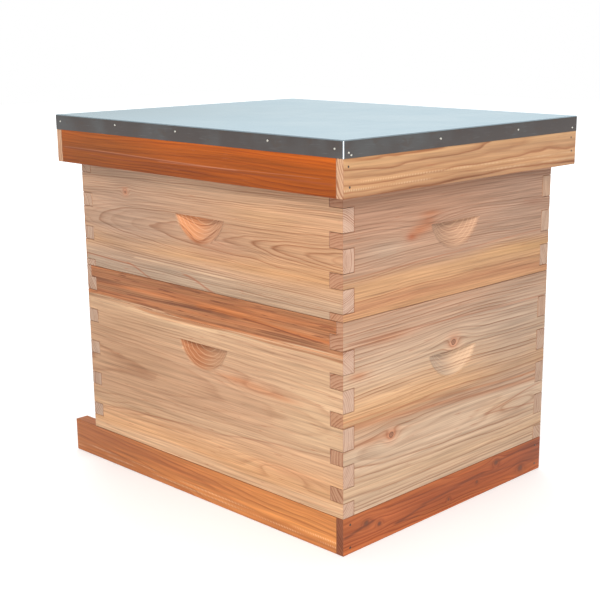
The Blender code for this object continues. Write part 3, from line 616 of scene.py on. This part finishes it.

# What each board of the boxes looks like, in metres from its middle: along its grain, then upwards.
# Each pair of colours for a handhold's cut holds its two tones: painted light on one half of the hollow,
# painted shade on the other.
BOX_LOOKS = {
    ("super", "right"): dict(
        seed=3.1, shade=(0.66, 0.67, 0.67), wander=0.45,
        tone=[(-0.084, SAP), (-0.070, SAP), (-0.056, PALE), (-0.045, GOLD), (-0.02, TAN), (0.02, TAN),
              (0.05, PALE), (0.084, TAN)],
        strips=[(0, -0.010, 0.026, -0.050, 0.0022, 0.64)],
        bumps=[(0.10, -0.022, 0.030, 0.008, 0.0035)],
        knots=[(-0.153, 0.029, 0.0026)],
        patches=[(-0.16, 0.0, 0.10, 0.10, GREYED, 0.65), (0.20, 0.0, 0.17, 0.09, ORANGE, 0.55),
                 (0.03, -0.026, 0.05, 0.020, srgb(196, 140, 112), 0.45),
                 (0.12, 0.026, 0.06, 0.012, srgb(232, 180, 132), 0.5)],
        strokes=[(-0.26, -0.150, -0.067, -0.069, 0.0012, LINE, 0.6),
                 (-0.156, -0.090, -0.069, -0.086, 0.0013, LINE, 0.7),
                 (-0.035, 0.045, -0.068, -0.087, 0.0014, LINE, 0.75),
                 (-0.14, 0.25, -0.059, -0.064, 0.0012, srgb(220, 184, 150), 0.35)],
    ),
    ("deep", "right"): dict(
        seed=7.7, shade=(0.78, 0.82, 0.77), wander=0.6, flecks=0.55, resin=(0.077, 0.75),
        cut_lit_shaded=(srgb(166, 101, 62), srgb(179, 131, 97)),
        tone=[(-0.122, PALE), (-0.112, PALE), (-0.104, ORANGE), (-0.07, TAN), (-0.04, ROSY), (0.02, ROSY),
              (0.070, TAN), (0.0765, PALE), (0.0775, HEART), (0.098, HEART), (0.106, HEART_DARK),
              (0.122, HEART)],
        strips=[(0.077, 0.16, 0.03, 0.02, 0.0024, 0.95), (-1, -0.018, 0.075, 0.030, 0.0034, 0.55)],
        bumps=[(0.10, 0.010, 0.06, 0.010, 0.006), (0.15, -0.085, 0.08, 0.014, 0.012),
               (-0.1, -0.07, 0.14, 0.02, 0.008)],
        patches=[(-0.19, 0.100, 0.16, 0.022, srgb(160, 104, 72), 0.75),
                 (-0.15, 0.0, 0.12, 0.08, srgb(180, 134, 104), 0.60), (0.21, -0.01, 0.08, 0.07, PALE, 0.75),
                 (0.062, 0.014, 0.034, 0.0040, FLAME, 0.50), (0.105, 0.010, 0.040, 0.0060, FLAME, 0.45),
                 (0.148, 0.007, 0.030, 0.0040, FLAME, 0.40), (0.17, -0.088, 0.06, 0.006, FLAME, 0.45),
                 (0.09, -0.104, 0.08, 0.006, ORANGE, 0.6), (0.06, 0.104, 0.05, 0.006, EMBER, 0.5),
                 (0.17, 0.068, 0.10, 0.009, ROSY, 0.7)],
        bands=[(-0.066, 0.080, 0.007, srgb(206, 156, 118), 0.40, 0.45)],
        strokes=[(-0.25, 0.25, 0.088, 0.094, 0.0011, HEART_DARK, 0.7),
                 (-0.2, 0.1, 0.112, 0.108, 0.0012, LINE, 0.5),
                 (-0.25, -0.02, 0.100, 0.104, 0.0014, srgb(128, 72, 44), 0.5),
                 (-0.01, 0.235, 0.101, 0.095, 0.0030, srgb(166, 90, 42), 0.6),
                 (0.08, 0.22, 0.098, 0.092, 0.0009, srgb(102, 52, 34), 0.75),
                 (-0.16, 0.02, 0.092, 0.096, 0.0012, RESIN, 0.65),
                 (0.02, 0.14, 0.112, 0.116, 0.0010, RESIN, 0.6),
                 (-0.22, -0.08, 0.084, 0.082, 0.0011, srgb(112, 60, 40), 0.6),
                 (0.10, 0.23, 0.083, 0.084, 0.0009, srgb(112, 60, 40), 0.55),
                 (-0.25, 0.03, 0.0715, 0.0715, 0.0024, srgb(220, 180, 142), 0.5)],
    ),
    ("super", "back"): dict(
        seed=11.3, shade=(0.63, 0.64, 0.66), cut_lit_shaded=(srgb(191, 150, 121), srgb(173, 135, 109)),
        tone=[(-0.084, ORANGE), (-0.072, srgb(208, 146, 104)), (-0.058, GOLD), (-0.046, GOLD), (-0.03, TAN),
              (0.03, ROSY), (0.084, srgb(200, 150, 118))],
        strips=[(0, -0.125, 0.035, 0.010, 0.0034, 0.55)],
        bumps=[(0.065, 0.010, 0.045, 0.014, 0.010)],
        patches=[(0.086, 0.001, 0.010, 0.0045, srgb(196, 104, 62), 0.9),
                 (0.072, 0.007, 0.016, 0.007, FLAME, 0.65), (0.055, 0.014, 0.016, 0.008, FLAME, 0.55),
                 (0.050, 0.026, 0.018, 0.0035, FLAME, 0.6),
                 (-0.165, 0.015, 0.020, 0.005, srgb(182, 104, 70), 0.75),
                 (0.13, -0.008, 0.04, 0.012, SAP, 0.65), (-0.14, 0.01, 0.09, 0.05, GREYED, 0.75),
                 (-0.15, -0.045, 0.10, 0.008, srgb(220, 168, 110), 0.6)],
        strokes=[(-0.21, 0.21, -0.024, -0.034, 0.0010, LINE, 0.40)],
    ),
    ("deep", "back"): dict(
        seed=17.9, shade=(0.73, 0.81, 0.87), rings=1.15, cut_lit_shaded=(srgb(212, 177, 146), srgb(182, 155, 133)),
        tone=[(-0.122, PALE), (-0.095, srgb(220, 174, 136)), (-0.07, PALE), (-0.030, PALE),
              (-0.015, srgb(194, 146, 114)), (0.0, ORANGE), (0.05, PALE), (0.085, TAN),
              (0.122, srgb(202, 152, 120))],
        strips=[(0, -0.052, 0.032, 0.012, 0.0044, 1.0)],
        bumps=[(-0.15, -0.055, 0.08, 0.012, 0.010), (0.0, 0.062, 0.05, 0.016, -0.006)],
        knots=[(0.0, 0.059, 0.0052), (0.12, -0.036, 0.0050)],
        patches=[(0.13, 0.004, 0.12, 0.02, ORANGE, 0.6), (0.13, 0.090, 0.05, 0.006, FLAME, 0.5),
                 (-0.14, 0.05, 0.10, 0.09, srgb(188, 152, 126), 0.75),
                 (0.18, 0.052, 0.018, 0.005, FLAME, 0.6), (0.155, -0.034, 0.05, 0.005, FLAME, 0.55),
                 (-0.10, -0.05, 0.04, 0.012, ORANGE, 0.3)],
        strokes=[(-0.21, 0.21, -0.030, -0.010, 0.0030, srgb(168, 112, 80), 0.60),
                 (-0.21, 0.21, -0.020, 0.0, 0.0016, srgb(178, 120, 84), 0.55),
                 (-0.20, -0.07, -0.040, -0.055, 0.0011, LINE, 0.6),
                 (-0.20, -0.07, -0.066, -0.057, 0.0011, LINE, 0.6),
                 (-0.20, 0.20, 0.088, 0.094, 0.0010, LINE, 0.5)],
    ),
    ("super", "left"): dict(
        seed=23.1, shade=UNSEEN,
        tone=[(-0.084, TAN), (-0.04, PALE), (0.018, TAN), (0.022, ORANGE), (0.06, GOLD), (0.084, TAN)],
        strips=[(0.02, 0.05, 0.05, 0.03, 0.0030, 0.7), (-1, -0.03, 0.07, -0.04, 0.0032, 0.6)],
        knots=[(0.11, 0.03, 0.0035)],
        bumps=[(-0.10, -0.03, 0.08, 0.02, 0.010)],
    ),
    ("deep", "left"): dict(
        seed=29.3, shade=UNSEEN,
        tone=[(-0.122, ORANGE), (-0.07, PALE), (0.0, ROSY), (0.028, TAN), (0.032, HEART), (0.08, ORANGE),
              (0.122, TAN)],
        strips=[(0.03, 0.07, 0.05, 0.03, 0.0028, 0.7), (-1, -0.05, 0.06, 0.04, 0.0034, 0.6)],
        bumps=[(0.05, -0.04, 0.09, 0.02, 0.012)],
        knots=[(-0.12, -0.06, 0.0045)],
    ),
    ("super", "front"): dict(
        seed=31.7, shade=UNSEEN,
        tone=[(-0.084, TAN), (-0.02, PALE), (0.04, ORANGE), (0.084, ROSY)],
        strips=[(0, -0.02, 0.06, 0.04, 0.0030, 0.7)],
        bumps=[(-0.09, 0.01, 0.05, 0.02, 0.010)],
    ),
    ("deep", "front"): dict(
        seed=37.1, shade=UNSEEN,
        tone=[(-0.122, PALE), (-0.05, TAN), (0.008, PALE), (0.012, GOLD), (0.07, TAN), (0.122, ROSY)],
        strips=[(0.01, 0.04, 0.06, 0.02, 0.0034, 0.8), (-1, -0.04, 0.07, 0.03, 0.0032, 0.7)],
        knots=[(-0.08, -0.05, 0.0045)],
        patches=[(0.10, 0.06, 0.05, 0.012, FLAME, 0.4)],
    ),
}


def box_boards():
    lays = {"right": (Y, 1), "left": (Y, -1), "back": (X, 1), "front": (X, -1)}
    for (prefix, side), look in BOX_LOOKS.items():
        node = f"{prefix}_board_{side}"
        along, sign = lays[side]
        board = Board(node, along, Z, sign)
        scoop = board.size[Z] / 2 - HOLD_MIDDLE
        ends = {"right": END_ON_BACK, "left": END_FAR, "front": END_FAR}.get(side, END_ON_SIDE)
        material = Wood(node + "_wood", board, scoop=scoop, end_tone=ends, **look).material
        dress(node, material, scooped=board)


def plain_wood(node, along, across, seed, tones, ring=0.0028, dark=0.7, side=1, pith=None, **extra):
    """Wood for a smaller board, sawn well clear of the pith, its tones spread over its width."""
    board = Board(node, along, across, side)
    rng = random.Random(seed)
    width = board.size[across]
    step = width / (len(tones) - 1)
    tone = [(index * step - width / 2, color) for index, color in enumerate(tones)]
    chance = (rng.uniform(-0.8, 0.8) * width, rng.uniform(0.04, 0.08), rng.uniform(-0.05, 0.05))
    pith = pith or chance
    return Wood(node + "_wood", board, tone, [(0, *pith, ring, dark)], seed=seed, **extra).material


# How rough oiled wood is.
OILED = 0.45


def side_boards():
    """The cover's dark red rims, with pale scratches, and the bottom's orange rails with saw marks."""
    red = [srgb(142, 72, 42), srgb(154, 80, 44), srgb(158, 82, 44), srgb(190, 96, 42), srgb(208, 108, 44)]
    scratch = srgb(196, 138, 112)
    rim = dict(
        strokes=[(-0.26, 0.26, -0.012, -0.017, 0.0014, srgb(116, 56, 34), 0.5),
                 (-0.26, 0.10, -0.010, -0.014, 0.0006, scratch, 0.30),
                 (-0.05, 0.24, -0.015, -0.012, 0.0005, scratch, 0.20),
                 (-0.20, 0.05, -0.018, -0.022, 0.0009, srgb(110, 50, 30), 0.4)],
        patches=[(-0.19, 0.0, 0.14, 0.06, srgb(126, 74, 66), 0.65)],
        flecks=0.25, shade=(0.88, 0.74, 0.10), pith=(-0.060, 0.050, 0.012), gloss=0.15, roughness=OILED,
    )
    orange = [srgb(212, 132, 78), srgb(226, 146, 88), srgb(196, 118, 72), srgb(216, 136, 82)]
    rail = dict(
        patches=[(-0.22, 0.0, 0.17, 0.06, srgb(172, 100, 56), 0.85),
                 (0.20, 0.004, 0.14, 0.02, srgb(236, 160, 98), 0.6)],
        teeth=[(-0.016, 0.0029), (-0.010, 0.0029)],
        shade=(0.77, 0.73, 0.54), end_tone=END_RED, gloss=0.3, roughness=OILED,
    )
    for side, sign, seed in (("left", -1, 41.3), ("right", 1, 43.9)):
        node = f"cover_rim_{side}"
        dress(node, plain_wood(node, Y, Z, seed, red, 0.0030, 0.55, sign, **rim))
        node = f"bottom_rail_{side}"
        dress(node, plain_wood(node, Y, Z, seed + 5, orange, 0.0030, 0.65, sign, **rail))


def short_rims():
    """The cover's pale rims at the front and back, with rows of saw marks."""
    pale = [srgb(188, 136, 100), srgb(206, 150, 108), srgb(196, 144, 106), srgb(222, 168, 122),
            srgb(226, 172, 124)]
    for side, sign, seed in (("front", -1, 53.3), ("back", 1, 59.2)):
        node = f"cover_rim_{side}"
        dress(node, plain_wood(node, X, Z, seed, pale, 0.0036, 1.0, sign, fibre=0.22,
                               teeth=[(-0.0148, 0.0028), (-0.0228, 0.0028)], shade=(0.73, 0.77, 0.73),
                               roughness=OILED))


def back_rail():
    """The knotty red-brown rail, with dark figure sweeping round its knots."""
    dark = [srgb(206, 114, 66), srgb(182, 96, 58), srgb(172, 90, 56), srgb(194, 108, 66)]
    brown = srgb(104, 54, 38)
    knots = [(-0.159, -0.011, 0.0044), (-0.101, 0.013, 0.0036), (-0.058, -0.003, 0.0018),
             (0.003, -0.010, 0.0018), (0.165, 0.007, 0.0034), (0.141, -0.001, 0.0026)]
    strokes = [(0.150, 0.2065, 0.006, -0.001, 0.0022, brown, 0.7),
               (0.050, 0.112, -0.004, -0.011, 0.0016, brown, 0.6),
               (0.064, 0.110, -0.014, -0.011, 0.0012, brown, 0.6),
               (-0.075, 0.060, 0.006, -0.001, 0.0020, brown, 0.5),
               (-0.2065, -0.100, 0.018, 0.014, 0.0014, brown, 0.6),
               (-0.19, -0.02, -0.004, 0.004, 0.0012, brown, 0.45),
               (0.01, 0.13, 0.012, 0.015, 0.0011, brown, 0.4)]
    patches = [(-0.195, 0.008, 0.035, 0.020, srgb(140, 76, 56), 0.6),
               (0.03, 0.0, 0.07, 0.012, srgb(160, 84, 54), 0.4),
               (0.15, -0.004, 0.06, 0.030, srgb(208, 118, 76), 0.5)]
    node = "bottom_rail_back"
    dress(node, plain_wood(node, X, Z, 61.7, dark, 0.0034, 0.7, knots=knots, halo=brown, strokes=strokes,
                           patches=patches, flecks=0.6, rings=1.7, end_tone=END_RED,
                           shade=(0.76, 0.74, 0.60), roughness=OILED))


def hidden_wood():
    """Floor, reducer, inner cover and panel: plain boards that show when the hive is opened."""
    tones = [TAN, PALE, GOLD, ROSY]
    for index in (1, 2, 3):
        node = f"floor_plank_{index}"
        dress(node, plain_wood(node, X, Y, 67.0 + index, tones, 0.0034))
    dress("entrance_reducer", plain_wood("entrance_reducer", X, Z, 71.9, tones, 0.003, side=-1))
    for side, along, across in (("left", Y, X), ("right", Y, X), ("front", X, Y), ("back", X, Y)):
        node = f"inner_rim_{side}"
        dress(node, plain_wood(node, along, across, 73.0 + len(side), tones, 0.0032))
    dress("inner_panel", plain_wood("inner_panel", Y, X, 79.9, [PALE, GOLD, PALE, TAN, GOLD], 0.0060), 0.0004)
    dress("cover_panel", plain_wood("cover_panel", Y, X, 83.3, [TAN, PALE, TAN, GOLD, ROSY], 0.0040))


# ---- Metal ----

# How far the shown sheet stands inside the node's sides, which leaves room for the nail heads.
SHEET_INSET = 0.0005

NAIL_SIDES = 14
SMALL_NAIL = 0.0014


def zinc():
    """Galvanised sheet, the same zinc all over: painted light makes the top and the folds pale, and painted
    shade makes the skirt dull and dark; the skirt's scratches and stains are its own.
    """
    sh = Shader("zinc_look", 0.30, 1.0)
    point, facing = sh.place()
    where = sh.vector(*point)
    cloud = sh.noise(where, 7.0, 3.0, 0.6)
    spangle = sh.noise(where, 130.0, 2.0, 0.5)
    # Painted light: the top's pale colour, far paler than the skirt's.
    top = sh.mix(sh.step(cloud, 0.35, 0.7), srgb(226, 240, 246), srgb(240, 249, 252))
    top = sh.mix(sh.times(sh.step(spangle, 0.48, 0.62), 0.08), top, srgb(200, 216, 226))
    corner = sh.bell(point[X], point[Y], (0.20, -0.30), (0.26, 0.26))
    top = sh.mix(corner, top, srgb(196, 206, 208))
    # Painted shade: the skirt's dark grey.
    side = sh.mix(sh.step(cloud, 0.40, 0.62), srgb(88, 80, 77), srgb(98, 97, 96))
    length = sh.times(sh.plus(point[X], point[Y]), 40)
    scratch = sh.noise(sh.vector(length, sh.times(point[Z], 520), 0.0), 1.0, 3.0, 0.7)
    side = sh.mix(sh.times(sh.step(scratch, 0.56, 0.72), 0.12), side, srgb(150, 150, 152))
    stain = sh.noise(sh.vector(length, sh.times(point[Z], 90), 4.0), 1.0, 3.0, 0.7)
    side = sh.mix(sh.times(sh.step(stain, 0.52, 0.66), 0.4), side, srgb(92, 78, 70))
    # Painted highlight along the folds; with the top, they take the pale painted-light colour.
    flats = [sh.math("ABSOLUTE", value) for value in facing[:2]]
    fold_highlight = sh.step(sh.math("MAXIMUM", *flats), 0.97, 0.90)
    bright = sh.math("MAXIMUM", sh.step(facing[Z], 0.25, 0.6), fold_highlight)
    color = sh.mix(bright, side, top)
    roughness = sh.blend(bright, 0.42, 0.27)
    sh.feed(sh.surface.inputs["Roughness"], roughness)
    return sh.finish(color, cloud, 0.08, 0.002)


def steel(name, tone):
    """Nail heads: dull metal, pitted."""
    sh = Shader(name, 0.38, 1.0)
    point, _ = sh.place()
    pits = sh.noise(sh.vector(*point), 900.0, 2.0)
    color = sh.mix(sh.step(pits, 0.35, 0.65), tone, [value * 0.6 for value in tone])
    return sh.finish(color, pits, 0.2, 0.0002)


def metal_cap():
    """The sheet folded down over the rim, its folds rounded, a little thinner than the node."""
    low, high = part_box("cover_sheet")
    shape = bmesh.new()
    bmesh.ops.create_cube(shape, size=1.0)
    size = [high[axis] - low[axis] - 2 * SHEET_INSET for axis in (X, Y)] + [high.z - low.z]
    bmesh.ops.scale(shape, vec=size, verts=shape.verts)
    bmesh.ops.translate(shape, vec=(low + high) / 2, verts=shape.verts)
    bottom = [face for face in shape.faces if face.normal.z < -0.5]
    bmesh.ops.delete(shape, geom=bottom, context="FACES_ONLY")
    folds = [edge for edge in shape.edges if len(edge.link_faces) == 2]
    bmesh.ops.bevel(shape, geom=folds, offset=0.0016, segments=4, profile=0.5, affect="EDGES")
    mesh = shape_mesh("cover_sheet_look", shape, False)
    mesh.shade_smooth()
    piece = add_piece("cover_sheet_look", mesh, zinc(), "cover_sheet")
    shell = piece.modifiers.new("thickness", "SOLIDIFY")
    shell.thickness = 0.0004
    even_normals(piece)
    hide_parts("cover_sheet")


def add_nails(name, node, axis, places, face, radius, rise, material):
    """Round nail heads with a crown, on a face that looks along axis. Places: across it, then height."""
    sign = 1 if face > 0 else -1
    profile = [(radius * 0.55, rise), (radius * 0.85, rise * 0.7), (radius, rise * 0.2), (radius, -0.0006)]
    shape = bmesh.new()
    for u, v in places:
        rings = []
        for reach, lift in profile:
            ring = []
            for step in range(NAIL_SIDES):
                turn = math.tau * step / NAIL_SIDES
                spot = [0.0, 0.0, 0.0]
                spot[axis] = face + sign * lift
                spot[1 - axis] = u + reach * math.cos(turn)
                spot[Z] = v + reach * math.sin(turn)
                ring.append(shape.verts.new(spot))
            rings.append(ring)
        skin(shape, rings)
    mesh = shape_mesh(name, shape)
    mesh.shade_smooth()
    mesh.set_sharp_from_angle(angle=math.radians(50))
    piece = add_piece(name, mesh, material, node)


def all_nails():
    bright = steel("nail_bright", srgb(226, 220, 208))
    dull = steel("nail_dull", srgb(96, 84, 78))
    low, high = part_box("cover_sheet")
    side = [(-0.264, 0.4954), (-0.138, 0.4973), (-0.013, 0.4965), (0.155, 0.4961), (0.262, 0.4943)]
    side = [(y + HIVE_Y, z) for y, z in side]
    back = [(0.221, 0.4902), (0.217, 0.4874), (0.062, 0.4943), (-0.094, 0.4946), (-0.218, 0.4892)]
    for name, axis, places, face in (
        ("right", X, side, high.x - SHEET_INSET), ("left", X, side, SHEET_INSET - high.x),
        ("back", Y, back, high.y - SHEET_INSET), ("front", Y, back, low.y + SHEET_INSET),
    ):
        add_nails(f"skirt_nails_{name}", "cover_sheet", axis, places, face, SMALL_NAIL, 0.0005, bright)
    rim = [(-0.217, 0.476), (-0.219, 0.458), (0.221, 0.475), (0.219, 0.452)]
    back_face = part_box("cover_rim_back")[1].y
    add_nails("rim_nails_back", "cover_rim_back", Y, rim, back_face, SMALL_NAIL, 0.0003, dull)
    front_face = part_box("cover_rim_front")[0].y
    add_nails("rim_nails_front", "cover_rim_front", Y, rim, front_face, SMALL_NAIL, 0.0003, dull)
    rail = [(0.194, 0.038), (0.194, 0.008), (-0.194, 0.038), (-0.194, 0.010)]
    rail_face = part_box("bottom_rail_back")[1].y
    add_nails("rail_nails_back", "bottom_rail_back", Y, rail, rail_face, 0.0016, 0.0003, dull)


# ---- Frames ----


# The frames' sticks, the same in both boxes: half lengths and half widths, then depths down from the top.
LUG_END = 0.2408
LUG_START = 0.2137
LUG_DEPTH = 0.0095
TOP_BAR_HALF = 0.0133
TOP_BAR_DEPTH = 0.0198
END_BAR_IN = 0.2142
END_BAR_OUT = 0.2238
END_BAR_NARROW = 0.0138
END_BAR_WIDE = 0.0173
FOOT_HALF = 0.0093
FOOT_LENGTH = 0.2236

OTHER_STICKS = ("_end_bar_front", "_end_bar_back", "_bottom_bar")

# Six-sided cells, measured between two opposite flats, and how deep their bases are pressed.
CELL = 0.0053
CELL_DEPTH = 0.0005


def prism(shape, outline, axis, low, high):
    """A closed outline in the two other axes, carried from low to high along one axis."""
    others = [index for index in (X, Y, Z) if index != axis]
    rings = []
    for level in (low, high):
        ring = []
        for u, v in outline:
            spot = [0.0, 0.0, 0.0]
            spot[axis] = level
            spot[others[0]] = u
            spot[others[1]] = v
            ring.append(shape.verts.new(spot))
        rings.append(ring)
    skin(shape, rings)


def frame_wood_mesh(prefix, height, looks):
    """One frame's four sticks, round the frame's own middle, its top at nothing."""
    shape = bmesh.new()
    slope = height * 0.38
    side = [(END_BAR_NARROW, -0.0008), (END_BAR_WIDE, -0.0008), (END_BAR_WIDE, -slope),
            (END_BAR_NARROW, -slope - 0.012), (END_BAR_NARROW, -height + 0.0008),
            (0.0099, -height + 0.0008), (0.0099, -height + 0.0094)]
    notch = [(-END_BAR_NARROW, -0.0104), (END_BAR_NARROW, -0.0104)]
    bar = side + [(-u, v) for u, v in reversed(side)] + notch
    for start, end in ((-END_BAR_OUT, -END_BAR_IN), (END_BAR_IN, END_BAR_OUT)):
        prism(shape, bar, Y, start, end)
    for face in shape.faces:
        face.material_index = 1
    lugs = [(LUG_END, 0), (LUG_END, -LUG_DEPTH), (LUG_START, -LUG_DEPTH), (LUG_START, -TOP_BAR_DEPTH)]
    top = [(-LUG_END, 0), *lugs] + [(-u, v) for u, v in reversed(lugs[1:])]
    prism(shape, top, X, -TOP_BAR_HALF, TOP_BAR_HALF)
    base = -height + 0.0002
    top_of_foot = base + 0.0086
    groove = base + 0.0060
    foot = [(-FOOT_HALF, base), (FOOT_HALF, base), (FOOT_HALF, top_of_foot), (0.0015, top_of_foot),
            (0.0015, groove), (-0.0015, groove), (-0.0015, top_of_foot), (-FOOT_HALF, top_of_foot)]
    prism(shape, foot, Y, -FOOT_LENGTH, FOOT_LENGTH)
    mesh = shape_mesh(f"{prefix}_frame_sticks", shape)
    weigh_edges(mesh)
    for look in looks:
        mesh.materials.append(look)
    return mesh


def foundation_mesh(prefix, height):
    """A thin wax sheet pressed on both sides with ribs, one to each half row of cells."""
    shape = bmesh.new()
    half, low, high = 0.2132, -height + 0.0094, -0.0206
    ribs = 2 * int((high - low) / (CELL * math.sqrt(3)))
    for side in (-1, 1):
        lines = []
        for index in range(ribs + 1):
            level = low + (high - low) * index / ribs
            lift = 0.00075 if index % 2 else 0.00045
            lines.append([shape.verts.new((side * lift, y, level)) for y in (-half, half)])
        for lower, upper in zip(lines, lines[1:]):
            shape.faces.new((lower[0], lower[1], upper[1], upper[0]))
    return shape_mesh(f"{prefix}_foundation_press", shape)


def frame_wood(name, along):
    """Clean pine for a frame's sticks, its grain running along one axis."""
    sh = Shader(name, 0.6)
    point, facing = sh.place()
    stretch = [420.0, 420.0, 420.0]
    stretch[along] = 9.0
    fine = [sh.times(place, many) for place, many in zip(point, stretch)]
    wide = [sh.times(place, many / 7) for place, many in zip(point, stretch)]
    line = sh.noise(sh.vector(*fine), 1.0, 3.0, 0.6, 0.4)
    broad = sh.noise(sh.vector(*wide), 1.0, 2.0)
    color = sh.mix(sh.step(line, 0.38, 0.66), srgb(228, 196, 156), srgb(202, 158, 114))
    color = sh.mix(sh.times(sh.step(broad, 0.4, 0.7), 0.5), color, srgb(214, 170, 122))
    end = sh.step(sh.math("ABSOLUTE", facing[along]), 0.6, 0.8)
    pores = sh.noise(sh.vector(*point), 900.0, 2.0)
    cross = sh.mix(pores, srgb(170, 126, 88), srgb(204, 164, 122))
    color = sh.mix(sh.times(end, 0.6), color, cross)
    return sh.finish(color, line, 0.3, 0.0003)


def beeswax():
    """Pressed wax: pale walls of six-sided cells, from three waves, round darker bases."""
    sh = Shader("wax_look", 0.38)
    point, _ = sh.place()
    sh.surface.inputs["Subsurface Weight"].default_value = 0.15
    sh.surface.inputs["Subsurface Radius"].default_value = (0.004, 0.002, 0.001)
    turns = 2 * math.tau / (CELL * math.sqrt(3))
    waves = 0.0
    for degrees in (0, 60, 120):
        angle = math.radians(degrees)
        place = sh.times_plus(point[Z], math.sin(angle), sh.times(point[Y], math.cos(angle)))
        waves = sh.plus(sh.math("COSINE", sh.times(place, turns)), waves)
    wall = sh.step(waves, 0.1, -0.9)
    cloud = sh.noise(sh.vector(*point), 22.0, 3.0)
    grain = sh.noise(sh.vector(*point), 340.0, 2.0)
    color = sh.mix(sh.step(cloud, 0.35, 0.65), srgb(216, 160, 62), srgb(228, 180, 88))
    color = sh.mix(sh.times(sh.step(grain, 0.5, 0.7), 0.25), color, srgb(190, 132, 50))
    color = sh.mix(sh.times(wall, 0.55), color, srgb(244, 214, 136))
    color = sh.mix(sh.step(waves, 1.2, 3.0), color, srgb(186, 126, 44))
    return sh.finish(color, wall, 1.0, CELL_DEPTH)


def wires_mesh(prefix, height):
    """Support wires strung through the end bars, proud of the wax on one side."""
    shape = bmesh.new()
    reach = 0.0003
    for share in ((0.28, 0.52, 0.76) if prefix == "super" else (0.22, 0.42, 0.62, 0.82)):
        level = -0.02 - share * (height - 0.03)
        turns = [math.tau * step / 6 for step in range(6)]
        outline = [(0.0011 + reach * math.cos(turn), level + reach * math.sin(turn)) for turn in turns]
        prism(shape, outline, Y, -0.2138, 0.2138)
    return shape_mesh(f"{prefix}_wires", shape)


def frames():
    """The ten frames of each box. The last one's wood stands for four nodes, and its wax for a fifth."""
    wax_look = beeswax()
    wire_look = steel("wire_look", srgb(190, 190, 186))
    wood_looks = [frame_wood("frame_wood_level", Y), frame_wood("frame_wood_upright", Z)]
    for prefix in ("deep", "super"):
        low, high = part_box(f"{prefix}_frame_01")
        height = high.z - low.z
        sticks = frame_wood_mesh(prefix, height, wood_looks)
        wax = foundation_mesh(prefix, height)
        wires = wires_mesh(prefix, height)
        kinds = (("sticks", sticks, None), ("wax", wax, wax_look), ("wires", wires, wire_look))
        for index in range(1, 11):
            stem = f"{prefix}_frame_{index:02d}"
            last = index == 10
            node = stem + "_top_bar" if last else stem
            low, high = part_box(node)
            place = ((low.x + high.x) / 2, (low.y + high.y) / 2, high.z)
            pieces = []
            for kind, mesh, look in kinds:
                pieces.append(add_piece(f"{stem}_{kind}", mesh, look, node))
                pieces[-1].location = place
            ease(pieces[0], 0.0007, 1)
            if last:
                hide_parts(node, *[stem + part for part in OTHER_STICKS])
                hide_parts(stem + "_foundation")
            else:
                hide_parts(node)


# ---- Stage ----


def add_area(name, place, target, size, power, color=(1, 1, 1)):
    light = bpy.data.lights.new(name, "AREA")
    light.shape = "SQUARE"
    light.size = size
    light.energy = power
    light.color = color
    lamp = bpy.data.objects.new(name, light)
    lamp.location = place
    lamp.rotation_euler = (Vector(target) - Vector(place)).to_track_quat("-Z", "Y").to_euler()
    lamp.visible_glossy = name == "key"
    bpy.context.scene.collection.objects.link(lamp)


def stage():
    bpy.ops.mesh.primitive_plane_add(size=14, location=(0, 0, -0.0005))
    floor = bpy.context.object
    floor.name = "studio_floor"
    paper = Shader("paper", 0.9)
    paper.surface.inputs["Specular IOR Level"].default_value = 0.1
    point, _ = paper.place()
    squares = paper.plus(paper.times(point[X], point[X]), paper.times(point[Y], point[Y]))
    far = paper.step(squares, 0.3, 4.0)
    paper.surface.inputs["Emission Strength"].default_value = 1.0
    paper.feed(paper.surface.inputs["Emission Color"], paper.mix(far, (0.26, 0.26, 0.26), (1, 1, 1)))
    paper.finish(paper.mix(far, (0.82, 0.82, 0.82), (0.80, 0.80, 0.80)))
    floor.data.materials.append(paper.material)

    world = bpy.data.worlds.new("studio")
    bpy.context.scene.world = world
    world.use_nodes = True
    nodes = world.node_tree.nodes
    links = world.node_tree.links
    direction = nodes.new("ShaderNodeTexCoord")
    split = nodes.new("ShaderNodeSeparateXYZ")
    links.new(direction.outputs["Generated"], split.inputs[0])
    sky = nodes.new("ShaderNodeValToRGB")
    links.new(split.outputs[Z], sky.inputs[0])
    sky.color_ramp.elements[0].position = 0.25
    sky.color_ramp.elements[0].color = (0.76, 0.87, 0.92, 1)
    sky.color_ramp.elements[1].position = 0.60
    sky.color_ramp.elements[1].color = (0.26, 0.28, 0.30, 1)
    seen = nodes.new("ShaderNodeLightPath")
    mix = nodes.new("ShaderNodeMix")
    mix.data_type = "RGBA"
    links.new(seen.outputs["Is Camera Ray"], mix.inputs[0])
    links.new(sky.outputs[0], mix.inputs[6])
    mix.inputs[7].default_value = (1, 1, 1, 1)
    links.new(mix.outputs[2], nodes["Background"].inputs[0])

    add_area("key", (2.0, 1.9, 2.0), (0, 0, 0.25), 1.3, 92, (1.0, 0.96, 0.91))
    add_area("top_light", (-0.6, -0.6, 2.8), (0, 0, 0.4), 2.0, 34)
    add_area("front_fill", (-1.6, -2.2, 1.4), (0, 0, 0.25), 1.6, 16)


def camera():
    lens = bpy.data.cameras.new("camera")
    lens.sensor_width = 36.0
    lens.lens = 72.31
    lens.shift_x = -0.0569
    lens.shift_y = 0.0466
    lens.clip_end = 50
    eye = bpy.data.objects.new("camera", lens)
    bpy.context.scene.collection.objects.link(eye)
    yaw = math.radians(-136.126)
    pitch = math.radians(-14.409)
    roll = math.radians(-0.176)
    eye.location = (1.1832, 1.1775 + HIVE_Y, 0.6321)
    look = Vector((math.cos(yaw) * math.cos(pitch), math.sin(yaw) * math.cos(pitch), math.sin(pitch)))
    turn = look.to_track_quat("-Z", "Y").to_matrix() @ Matrix.Rotation(roll, 3, "Z")
    eye.rotation_euler = turn.to_euler()
    bpy.context.scene.camera = eye


bpy.context.scene.view_settings.view_transform = "Standard"
camera()
stage()
box_boards()
side_boards()
short_rims()
back_rail()
hidden_wood()
metal_cap()
all_nails()
frames()

bpy.context.view_layer.update()
